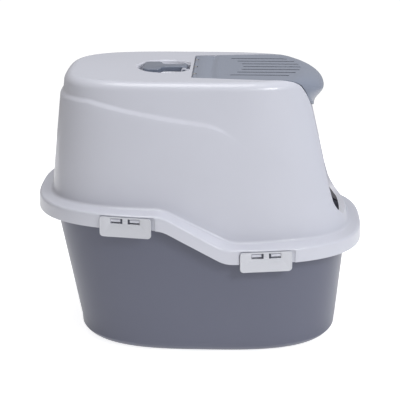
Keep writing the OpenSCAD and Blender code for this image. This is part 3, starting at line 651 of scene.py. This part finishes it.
def rimCore():
    # The inside of the hood's rim as one solid, to trim what is joined to it.
    mesh = bmesh.new()
    rings = [rimRing(1.3, 0.6), rimRing(1.6, 12),
             rimRing(2, rim["skirt"] - 6), rimRing(5, rim["skirt"] - 1.5)]
    gridSheet(mesh, len(rings) - 1, len(rings[0]) - 1, lambda row, col: rings[row][col])
    bmesh.ops.remove_doubles(mesh, verts=mesh.verts, dist=0.01 * mm)
    bmesh.ops.holes_fill(mesh, edges=mesh.edges, sides=0)
    bmesh.ops.triangulate(mesh, faces=[f for f in mesh.faces if len(f.verts) > 4])
    faceOutwards(mesh, (0, 0, 200))
    return toObject("rimCore", mesh)


def bayBlocks():
    s, half, blocks = bay, clip["length"] / 2, []
    low = (-half - s["margin"], bayFloorY - s["wall"], s["foot"])
    high = (half + clip["channel"] + s["margin"], clip["face"], rim["skirt"] - 1)
    for _, place in clipSpots:
        block = roundBox("bay", low, high, edge=0, turn=place)
        blocks.append(combine(block, "INTERSECT", [rimCore()]))
    return blocks


def bayCutters():
    # The recess behind each clip and the open channel beside it, rounded at their upper corners.
    s, half, cutters = bay, clip["length"] / 2, []
    up = Matrix.Rotation(math.pi / 2, 4, "X")
    outline = roundedOutline(-half - s["play"], half + clip["channel"], -s["play"], clipTop + s["over"],
                             (s["footRound"], s["footRound"], s["round"], s["round"]))
    for _, place in clipSpots:
        cutters.append(raisedOutline("bayCut", outline, -s["depth"], -bayFloorY, turn=place @ up))
    return cutters


def nearClip(p):
    # Whether a point is on the skirt within a clip's reach.
    if p.z > rimZ(p.x) + rim["skirt"] + 2 or abs(p.y) < 150:
        return False
    return any((place.inverted() @ (p * mm)).length < 60 * mm for _, place in clipSpots)


hoodShell = makeHoodShell()
combine(hoodShell, "UNION", bayBlocks())
combine(hoodShell, "DIFFERENCE", bayCutters())
roundEdges(hoodShell, bay["edge"], least=50, where=nearClip)
dressed(hoodShell, whitePlastic, "hood", stands=["hood"])
print("hood made", len(hoodShell.data.polygons))

seat = dict(width=7, thick=2.6, top=447.9, frontX=136, into=449.4, wall=2.6, narrow=0.3, hingeTo=-4.8,
            creaseFrom=8.6, creaseTo=32, round=3, xs=(126, 110, 80, 50, 32.2, 31.8, 22, 9, 8.5, 2, -4.6, -5),
            ys=(85, 60, 30), edge=0.4)


def makeSeat():
    # The ledge that the flap's edges rest on. It narrows beside the crease and the hinge, and has only
    # a wall across its rear.
    s, r, narrow, rear = seat, seat["round"], seat["narrow"], topHole["rearX"]
    half = []
    for x in (s["frontX"], *s["xs"]):
        slim = s["creaseFrom"] < x < s["creaseTo"] or x < s["hingeTo"]
        half.append((x, topHalf(x), narrow if slim else s["width"]))
    half += [(rear + r * (1 - math.sin(a)), topHole["rearHalf"] - r * (1 - math.cos(a)), narrow)
             for a in (math.pi / 2 * k / 4 for k in range(5))]
    half += [(rear, y, narrow) for y in s["ys"]]
    path = half + [(rear, 0, narrow)] + [(x, -y, w) for x, y, w in reversed(half)]

    def place(row, col):
        x, y, reach = path[row]
        before, after = path[max(0, row - 1)], path[min(len(path) - 1, row + 1)]
        along = Vector((after[0] - before[0], after[1] - before[1])).normalized()
        low, wall = s["top"] - s["thick"], -s["wall"]
        inward, z = [(wall, low), (reach, low), (reach, s["top"]), (-narrow, s["top"]), (-narrow, s["into"]),
                     (wall, s["into"])][col % 6]
        return x - along.y * inward, y + along.x * inward, z
    mesh = bmesh.new()
    gridSheet(mesh, len(path) - 1, 6, place)
    bmesh.ops.remove_doubles(mesh, verts=mesh.verts, dist=0.01 * mm)
    bmesh.ops.holes_fill(mesh, edges=mesh.edges, sides=0)
    bmesh.ops.recalc_face_normals(mesh, faces=mesh.faces)
    return roundEdges(toObject("flapSeat", mesh), s["edge"], least=60)


dressed(makeSeat(), whitePlastic, "hood")
# The hinge mounts are painted dark as the shade in the gap along the flap's hinge
dressNode("flap_mounts", hingeGapShade)
dressNode("handle_mounts", whitePlastic)
for name in clipNodes.values():
    dressNode(name.replace("clip", "clip_pin"), whitePlastic)


def makeClip(name, place):
    s, half, r = clip, clip["length"] / 2, clip["corner"]

    def panel(mesh, faces):
        # The face is very slightly sunk inside a narrow border
        bmesh.ops.inset_region(mesh, faces=faces, thickness=s["border"] * mm)
        bmesh.ops.inset_region(mesh, faces=faces, thickness=s["step"] * mm, depth=-s["sunk"] * mm)

    outline = roundedOutline(-half, half, -s["drop"], clipTop, (r, r, s["topCorner"], s["topCorner"]))
    made = raisedOutline("clip_" + name, outline, -clipBack, -s["face"], shape=panel)
    windows, gap = [], s["windowGap"] / 2
    low, high = pinZ - s["knuckle"] - s["windowBelow"], pinZ + s["knuckle"] + s["windowAbove"]
    for side in (-1, 1):
        x = sorted((side * gap, side * (gap + s["window"])))
        window = roundedOutline(*x, low, high, [s["windowRound"]] * 4, steps=3)
        windows.append(raisedOutline("window", window, -4, 6))
    combine(made, "DIFFERENCE", windows)
    roundEdges(made, s["edge"], least=60)
    made.data.transform(Matrix.Rotation(math.pi / 2, 4, "X"))
    reach, foot, edge = rim["wall"] + s["hookOut"], s["hookLow"], s["edge"]
    extras = [rod("knuckle", s["knuckle"], (-gap, pinY, pinZ), (gap, pinY, pinZ)),
              roundBox("hook", (-half / 2, -reach, foot), (half / 2, clipBack + 0.5, s["hookHigh"]),
                       edge=edge),
              roundBox("hookEdge", (-half / 2, -reach, foot), (half / 2, s["hookLip"] - reach, 0), edge=edge)]
    # Blocks at the inner ends of the windows, painted dark as the shade inside them
    low, high = low - 0.2, high + 0.2
    for side in (-1, 1):
        x = sorted((side * (gap - 0.5), side * (gap + s["shadeBlock"])))
        extras.append(roundBox("shadeBlock", (x[0], pinY + s["shadeBlockBack"], low),
                               (x[1], s["face"] - s["shadeBlockSunk"], high), edge=0))
    combine(made, "UNION", extras)
    # The top of the back is cut away so that the clip can turn
    lean = Matrix.Translation(Vector((0, clipBack, clipTop - s["relief"])) * mm)
    lean = lean @ Matrix.Rotation(math.pi / 4, 4, "X")
    relief = roundBox("relief", (-half - 1, 0, 0), (half + 1, s["reliefSize"], s["reliefSize"]),
                      edge=0, turn=lean)
    combine(made, "DIFFERENCE", [relief])
    mesh = bmesh.new()
    mesh.from_mesh(made.data)
    bmesh.ops.transform(mesh, matrix=place, verts=mesh.verts)
    bmesh.ops.recalc_face_normals(mesh, faces=mesh.faces)
    mesh.to_mesh(made.data)
    mesh.free()
    dressed(made, clipPlastic, clipNodes[name], stands=[clipNodes[name]])
    # The faces of these blocks get the near-black material: painted shade in the windows
    made.data.materials.append(slotShadePaint)
    for face in made.data.polygons:
        spot = place.inverted() @ face.center / mm
        if (gap - 0.1 < abs(spot.x) < gap + s["shadeBlock"] + 0.3 and low + 0.1 < spot.z < high - 0.1
                and pinY + s["shadeBlockBack"] - 0.5 < spot.y < s["face"] - s["shadeBlockSunk"] + 0.3):
            face.material_index = 1


for name, place in clipSpots:
    makeClip(name, place)
print("clips made")

# Flap

flap = dict(thick=2.6, gap=1.2, noseOut=17, noseHeight=58, noseSide=40, noseStart=165, creaseX=27,
            bow=3, bowFrom=12, start=3.6, turn=27, lap=2.5, sideEase=2.6, edge=0.6, cols=72,
            slots=7, pitch=23.5, slotWidth=4, slotRear=74, slotFront=168, rearArc=2.5, frontArc=2.4,
            barrel=3, rod=1.8, lugWidth=9, lugPitch=60,
            crease=((2, 0), (8, 0), (13, -1.1), (17, -2.4), (18.5, -2.8), (25.5, -0.35)),
            flatXs=(34, 60, 85), frontXs=(124, 138, 152))
axisX, axisZ = topHole["rearX"] + 1 + flap["barrel"], top - flap["barrel"]


def bezier(p, u):
    return tuple((1 - u) ** 3 * p[0][i] + 3 * u * (1 - u) ** 2 * p[1][i] + 3 * u * u * (1 - u) * p[2][i]
                 + u ** 3 * p[3][i] for i in (0, 1))


def flapLine():
    # The flap's middle line as X and height above the top face, from its hinge to the nose's lower edge.
    s = flap
    tip, endZ = frontX(top - 26) + s["noseOut"], top - s["noseHeight"]
    endX, neck = frontX(endZ) - 6, (tip - 2, top - 35)
    over = [(s["noseStart"], top), (s["noseStart"] + 28, top), (tip + 10, top - 20), neck]
    under = [neck, (neck[0] - 7, neck[1] - 9), (endX, endZ + 12), (endX, endZ)]
    line = [(axisX + s["start"], 0), *s["crease"]]
    line += [(x, 0) for x in (s["creaseX"], *s["flatXs"], topHole["fullX"], *s["frontXs"])]
    for p in [bezier(over, k / 24) for k in range(25)] + [bezier(under, k / 12) for k in range(1, 13)]:
        line.append((p[0], p[1] - top))
    return line


def flapEdge(x, drop):
    # Where the flap's side edge is beside a point of its middle line.
    s = flap
    past = x - s["noseStart"] + s["turn"]
    if past <= 0 and drop > -5:
        return x, topHalf(x) - s["gap"], drop
    lower = s["lap"] * clamp(past / 20)
    z = top + drop * (s["noseSide"] - s["lap"]) / s["noseHeight"] - lower
    y = jambHalf(z - s["thick"] * clamp(past / 8)) - s["gap"]
    return min(hoodFace(y, z), x) - 0.5, y, z - top


def flapPoint(p, v):
    # A point of the flap: p is on its middle line, and v runs across it from -1 to 1.
    x, y, drop = flapEdge(*p)
    share = abs(v) ** flap["sideEase"]
    bend = flap["bow"] * v * v if flap["bowFrom"] < p[0] < flap["creaseX"] + 1 else 0
    return mix(p[0], x, share) + bend, v * y, top + mix(p[1], drop, share)


def makeFlap():
    s, line = flap, flapLine()
    mesh = bmesh.new()
    across = [signedPower(2 * k / s["cols"] - 1, 0.85) for k in range(s["cols"] + 1)]
    gridSheet(mesh, len(line) - 1, s["cols"], lambda row, col: flapPoint(line[row], across[col]))
    faceOutwards(mesh, (80, 0, 380))
    made = thicken(toObject("ventFlap", mesh), s["thick"])
    slots = []
    half = s["slotWidth"] / 2
    for k in range(-(s["slots"] // 2), s["slots"] // 2 + 1):
        y, bend = k * s["pitch"], k * k
        rear, front = s["slotRear"] - s["rearArc"] * bend, s["slotFront"] - s["frontArc"] * bend
        outline = roundedOutline(rear - half, front + half, y - half, y + half, [half * 0.98] * 4)
        slots.append(raisedOutline("slot", outline, top - 10, top + 10))
    combine(made, "DIFFERENCE", slots)
    return roundEdges(made, s["edge"], least=60)


tray = dict(earY=52, axisX=45.2, axisZ=441.7, frontX=166.84, topZ=445.7, ear=3.2, earHalf=2.5, bore=1.68,
            catchHalf=12, catchDrop=5, sink=1.3)


def makeFlapFittings():
    # The hinge barrels and rod, and the ears and the catch that hold the filter tray.
    s, parts, reach = flap, [], topHole["rearHalf"] - flap["gap"] - 1
    gap = s["lugWidth"] / 2 + 0.5
    stops = [-reach - gap, -s["lugPitch"], 0, s["lugPitch"], reach + gap]
    for a, b in zip(stops, stops[1:]):
        a, b = a + gap, b - gap
        parts.append(rod("barrel", s["barrel"], (axisX, a, axisZ), (axisX, b, axisZ)))
        parts.append(roundBox("web", (axisX, a, top - s["thick"]), (axisX + 5, b, top - 0.3), edge=0.2))
    parts.append(rod("hingeRod", s["rod"], (axisX, -reach, axisZ), (axisX, reach, axisZ), edge=0.2))
    x, z, r, half, high = tray["axisX"], tray["axisZ"], tray["ear"], tray["earHalf"], top - tray["sink"]
    for y in (-tray["earY"], tray["earY"]):
        ear = rod("ear", r, (x, y - half, z), (x, y + half, z), edge=0)
        web = roundBox("earWeb", (x - r, y - half, z), (x + r, y + half, high), edge=0)
        bore = rod("bore", tray["bore"], (x, y - 6, z), (x, y + 6, z), edge=0)
        combine(ear, "UNION", [web])
        parts.append(combine(ear, "DIFFERENCE", [bore]))
    x, z, half, foot = tray["frontX"], tray["topZ"], tray["catchHalf"], tray["topZ"] - tray["catchDrop"]
    parts.append(roundBox("catch", (x + 2.4, -half, foot), (x + 4.2, half, high), edge=0.3))
    parts.append(roundBox("catchTooth", (x + 0.6, -half, foot), (x + 2.6, half, z - 3.5), edge=0.3))
    return joined("flapFittings", parts)


ventFlap = dressed(makeFlap(), flapPlastic, "flap", stands=["flap"])
# The cut walls of the slots get a near-black material: painted shade in the slots
slotShadeArea = dict(rear=60, front=172, half=76, deep=4)
ventFlap.data.materials.append(slotShadePaint)
for face in ventFlap.data.polygons:
    spot = face.center / mm
    inSlots = slotShadeArea["rear"] < spot.x < slotShadeArea["front"] and abs(spot.y) < slotShadeArea["half"]
    if inSlots and spot.z > top - slotShadeArea["deep"] and abs(face.normal.z) < 0.5:
        face.material_index = 1
dressed(makeFlapFittings(), flapPlastic, "flap", smooth=50)
dressNode("filter_tray", flapPlastic)
print("flap made")

# Filter pad

pad = dict(edge=1.6, crown=0.25, cuts=14, dimple=0.05, waveX=1.3, waveY=1.1)


def makePad():
    # A block of cut foam, whose faces sink a little towards their edges.
    low, high = (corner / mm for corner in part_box("filter_pad"))
    mesh = bmesh.new()
    bmesh.ops.create_cube(mesh, size=1)
    bmesh.ops.scale(mesh, vec=(high - low) * mm, verts=mesh.verts)
    bmesh.ops.bevel(mesh, geom=mesh.edges[:], offset=pad["edge"] * mm, segments=3, profile=0.5,
                    affect="EDGES", clamp_overlap=True, material=-1)
    long = [e for e in mesh.edges if e.calc_length() > 50 * mm]
    bmesh.ops.subdivide_edges(mesh, edges=long, cuts=pad["cuts"], use_grid_fill=True)
    size = (high - low) / 2 * mm
    for v in mesh.verts:
        edge = max(abs(v.co.x / size.x), abs(v.co.y / size.y))
        v.co.z *= 1 - pad["crown"] / 3 * edge ** 6
        wave = 1 + math.sin(v.co.x / mm * pad["waveX"]) * math.sin(v.co.y / mm * pad["waveY"])
        v.co.z -= pad["dimple"] * mm * wave * (1 - edge ** 4)
    bmesh.ops.translate(mesh, vec=(low + high) / 2 * mm, verts=mesh.verts)
    bmesh.ops.recalc_face_normals(mesh, faces=mesh.faces)
    return toObject("filterPad", mesh)


filterPad = dressed(makePad(), filterFoam, "filter_tray", stands=["filter_pad"], smooth=60)
print("filter pad made")

# Handle

handle = dict(axisX=-28, axisZ=447, reach=70, gripWidth=66, gripLength=31, gripHeight=9, proud=1.5,
              corner=9, stem=23, flare=11, edge=1.8, barrel=5, barrelWidth=40, peg=3, lug=6)


def makeHandle():
    s = handle
    high, x = top + s["proud"], s["axisX"] - s["reach"]
    front, half, r, f = x + s["gripLength"], s["gripWidth"] / 2, s["corner"], s["flare"]
    # One side, from the rear round the grip and along the stem
    turns = [math.pi / 20 * k for k in range(11)]
    side = [(x + r * (1 - math.cos(a)), half - r * (1 - math.sin(a))) for a in turns]
    side += [(front - r * (1 - math.sin(a)), half - r * (1 - math.cos(a))) for a in turns]
    side += [(front + f * (1 - math.cos(a)), s["stem"] / 2 + f * (1 - math.sin(a))) for a in turns]
    side.append((s["axisX"] + 1, s["stem"] / 2))
    outline = side + [(px, -py) for px, py in reversed(side)]
    grip = raisedOutline("carryHandle", outline, high - s["gripHeight"], high)
    roundEdges(grip, s["edge"], least=60, segments=4)
    half, peg = s["barrelWidth"] / 2, s["barrelWidth"] / 2 + s["lug"]
    barrel = rod("barrel", s["barrel"], (s["axisX"], -half, s["axisZ"]),
                 (s["axisX"], half, s["axisZ"]), edge=0.6)
    pegs = rod("pegs", s["peg"], (s["axisX"], -peg, s["axisZ"]), (s["axisX"], peg, s["axisZ"]), edge=0.4)
    return combine(grip, "UNION", [barrel, pegs])


dressed(makeHandle(), handlePlastic, "handle", stands=["handle"], smooth=40)
print("handle made")

# Tub

tub = dict(baseLength=396, baseWidth=326, baseX=14, baseRound=28, basePower=3, wallZ=24, frontX=254,
           rearX=-254, width=385, rimIn=8, wall=2.6, rimUp=20.4, rimRound=1.6, lipUp=1, cols=240, rounds=9)


def tubRings():
    # From the middle of the underside out, up, over the rim and down the inside.
    s = tub
    turns = [2 * math.pi * k / s["cols"] for k in range(s["cols"] + 1)]

    def oval(a, b, power):
        return [ovalPoint(a, b, power, t) for t in turns]

    def flat(share, z, grow=0):
        a, b = (s["baseLength"] / 2 + grow) * share, (s["baseWidth"] / 2 + grow) * share
        return [(s["baseX"] + x, y, z) for x, y in oval(a, b, s["basePower"])]

    def corner(degrees, grow):
        a, r = math.radians(degrees), s["baseRound"] + grow
        out, z = r * math.sin(a), s["baseRound"] - r * math.cos(a)
        found = oval(s["baseLength"] / 2 + out, s["baseWidth"] / 2 + out, s["basePower"])
        return [(s["baseX"] + x, y, z) for x, y in found]

    def wallAt(u, down, grow):
        found, foot, low = [], s["baseRound"] - 2, s["wallZ"]
        for t in turns:
            x = ovalPoint(s["frontX"], s["width"] / 2, rim["power"], t)[0]
            # The rim's height depends on the point's own X, so it is found in rounds
            for _ in range(s["rounds"]):
                z = mix(low, rimZ(x) + s["rimUp"] + down, u)
                uf = (z - low) / (rim["frontZ"] + s["rimUp"] - low)
                ur = (z - low) / (rim["rearZ"] + s["rimUp"] - low)
                front = mix(s["baseX"] + s["baseLength"] / 2 + foot, s["frontX"], uf)
                rear = mix(s["baseX"] - s["baseLength"] / 2 - foot, s["rearX"], ur)
                side = mix(s["baseWidth"] / 2 + foot, s["width"] / 2, (uf + ur) / 2)
                px, py = ovalPoint((front - rear) / 2 + grow, side + grow, rim["power"], t)
                px += (front + rear) / 2
                x = (x + px) / 2
            found.append((px, py, z))
        return found

    def edge(inset, up):
        found = oval(rim["length"] / 2 - inset, rim["width"] / 2 - inset, rim["power"])
        return [(x, y, rimZ(x) + up) for x, y in found]

    w, up, out = s["wall"], s["rimUp"], s["rimIn"]
    bends, levels = [6 * k for k in range(11)], [k / 12 for k in range(12)] + [0.95]
    outside = [flat(0.02, 0), flat(0.4, 0), flat(0.75, 0)] + [corner(a, 0) for a in bends]
    outside += [wallAt(u, 0, 0) for u in levels] + [wallAt(1, -w - 1.2, 0), wallAt(1, -w, 1.2)]
    brim = [edge(out + w + 1, up - w), edge(out + w, up - w - 1), edge(out + w, 10)]
    brim += [edge(out + w, s["lipUp"] + 0.4), edge(out + w - 0.4, s["lipUp"])]
    brim += [edge(out + 0.4, s["lipUp"]), edge(out, s["lipUp"] + 0.4), edge(out, 10)]
    brim += [edge(out + s["rimRound"] * (1 - math.cos(a)), up - s["rimRound"] * (1 - math.sin(a)))
             for a in (math.pi / 8 * k for k in range(5))]
    brim += [wallAt(1, 0, 1.5 - w), wallAt(1, -0.5, 0.5 - w), wallAt(1, -2, -w)]
    inside = [wallAt(u, 0, -w) for u in reversed(levels)] + [corner(a, -w) for a in reversed(bends)]
    inside += [flat(0.75, w), flat(0.4, w), flat(0.02, w)]
    return outside + brim + inside


def makeTub():
    rings = tubRings()
    mesh = bmesh.new()
    gridSheet(mesh, len(rings) - 1, tub["cols"], lambda row, col: rings[row][col])
    bmesh.ops.remove_doubles(mesh, verts=mesh.verts, dist=0.005 * mm)
    bmesh.ops.holes_fill(mesh, edges=mesh.edges, sides=0)
    bmesh.ops.recalc_face_normals(mesh, faces=mesh.faces)
    return toObject("tubShell", mesh)


dressed(makeTub(), tubPlastic, "tub", stands=["tub"])
print("tub made")

# Camera and light

view = dict(target=(-1.7, 0, 212.1), distance=2457.3, azimuth=2.0, elevation=16.89, focal=1397.57,
            picture=400, sensor=36, clipMetres=20)


def makeCamera():
    data = bpy.data.cameras.new("camera")
    data.sensor_width = view["sensor"]
    data.lens = view["focal"] / view["picture"] * view["sensor"]
    data.clip_end = view["clipMetres"]
    made = bpy.data.objects.new("camera", data)
    scene.collection.objects.link(made)
    az, el = math.radians(view["azimuth"]), math.radians(view["elevation"])
    back = Vector((math.sin(az) * math.cos(el), -math.cos(az) * math.cos(el), math.sin(el)))
    made.location = (Vector(view["target"]) + back * view["distance"]) * mm
    made.rotation_euler = (-back).to_track_quat("-Z", "Y").to_euler()
    scene.camera = made


# Places, targets and sizes are metres. The weak warm light inside stands for what thin plastic lets through.
lights = dict(
    key=dict(place=(1.5, -1.8, 1.7), target=(0, 0, 0.25), size=0.9, power=23),
    top=dict(place=(-0.2, -0.2, 2.4), target=(0, 0, 0.2), size=1.5, power=23),
    inside=dict(place=(0.02, 0.02, 0.405), target=(0.05, 0.05, 0), size=0.06, power=0.35,
                color=(1, 0.93, 0.84)))


def areaLight(name, place, target, size, power, color=(1, 1, 1)):
    data = bpy.data.lights.new(name, "AREA")
    data.shape, data.size, data.energy, data.color = "DISK", size, power, color
    made = bpy.data.objects.new(name, data)
    scene.collection.objects.link(made)
    made.location = place
    made.rotation_euler = (Vector(target) - Vector(place)).to_track_quat("-Z", "Y").to_euler()


studio = dict(floorMetres=1.3, floorColor=(0.6, 0.6, 0.6, 1), floorRoughness=0.9, glowBox=0.55,
              glowCamera=0.85, rearTone=(0.22, 0.205, 0.19, 1), frontTone=(0.58, 0.60, 0.66, 1),
              backdrop=1.05)


def makeStage():
    mesh = bmesh.new()
    bmesh.ops.create_grid(mesh, x_segments=1, y_segments=1, size=studio["floorMetres"])
    floor = toObject("floor", mesh)
    made = bpy.data.materials.new("floorPaint")
    made.use_nodes = True
    paint, seen = made.node_tree.nodes["Principled BSDF"], made.node_tree.nodes.new("ShaderNodeLightPath")
    paint.inputs["Base Color"].default_value = studio["floorColor"]
    paint.inputs["Roughness"].default_value = studio["floorRoughness"]
    paint.inputs["Emission Color"].default_value = (1, 1, 1, 1)
    # The floor glows white to the camera and less on the box
    glow = made.node_tree.nodes.new("ShaderNodeMapRange")
    glow.inputs["To Min"].default_value = studio["glowBox"]
    glow.inputs["To Max"].default_value = studio["glowCamera"]
    link(made.node_tree, seen, "Is Camera Ray", glow, "Value")
    link(made.node_tree, glow, "Result", paint, "Emission Strength")
    floor.data.materials.append(made)
    world = bpy.data.worlds.new("studio")
    world.use_nodes = True
    tree = world.node_tree
    around, behind = tree.nodes["Background"], tree.nodes.new("ShaderNodeBackground")
    # The studio is darker and warmer towards the rear
    place, axes = tree.nodes.new("ShaderNodeTexCoord"), tree.nodes.new("ShaderNodeSeparateXYZ")
    link(tree, place, "Generated", axes, "Vector")
    side, tone = tree.nodes.new("ShaderNodeMapRange"), tree.nodes.new("ShaderNodeValToRGB")
    side.inputs["From Min"].default_value = -1
    side.inputs["To Min"].default_value = 0
    link(tree, axes, "X", side, "Value")
    tone.color_ramp.elements[0].color = studio["rearTone"]
    tone.color_ramp.elements[1].color = studio["frontTone"]
    link(tree, side, "Result", tone, "Fac")
    link(tree, tone, "Color", around, "Color")
    around.inputs["Strength"].default_value = 1
    behind.inputs["Color"].default_value = (1, 1, 1, 1)
    behind.inputs["Strength"].default_value = studio["backdrop"]
    seen, pick = tree.nodes.new("ShaderNodeLightPath"), tree.nodes.new("ShaderNodeMixShader")
    tree.links.new(seen.outputs["Is Camera Ray"], pick.inputs[0])
    tree.links.new(around.outputs[0], pick.inputs[1])
    tree.links.new(behind.outputs[0], pick.inputs[2])
    tree.links.new(pick.outputs[0], tree.nodes["World Output"].inputs["Surface"])
    scene.world = world
    scene.view_settings.view_transform = "Standard"


makeCamera()
makeStage()
for name, settings in lights.items():
    areaLight(name, **settings)
print("stage made")
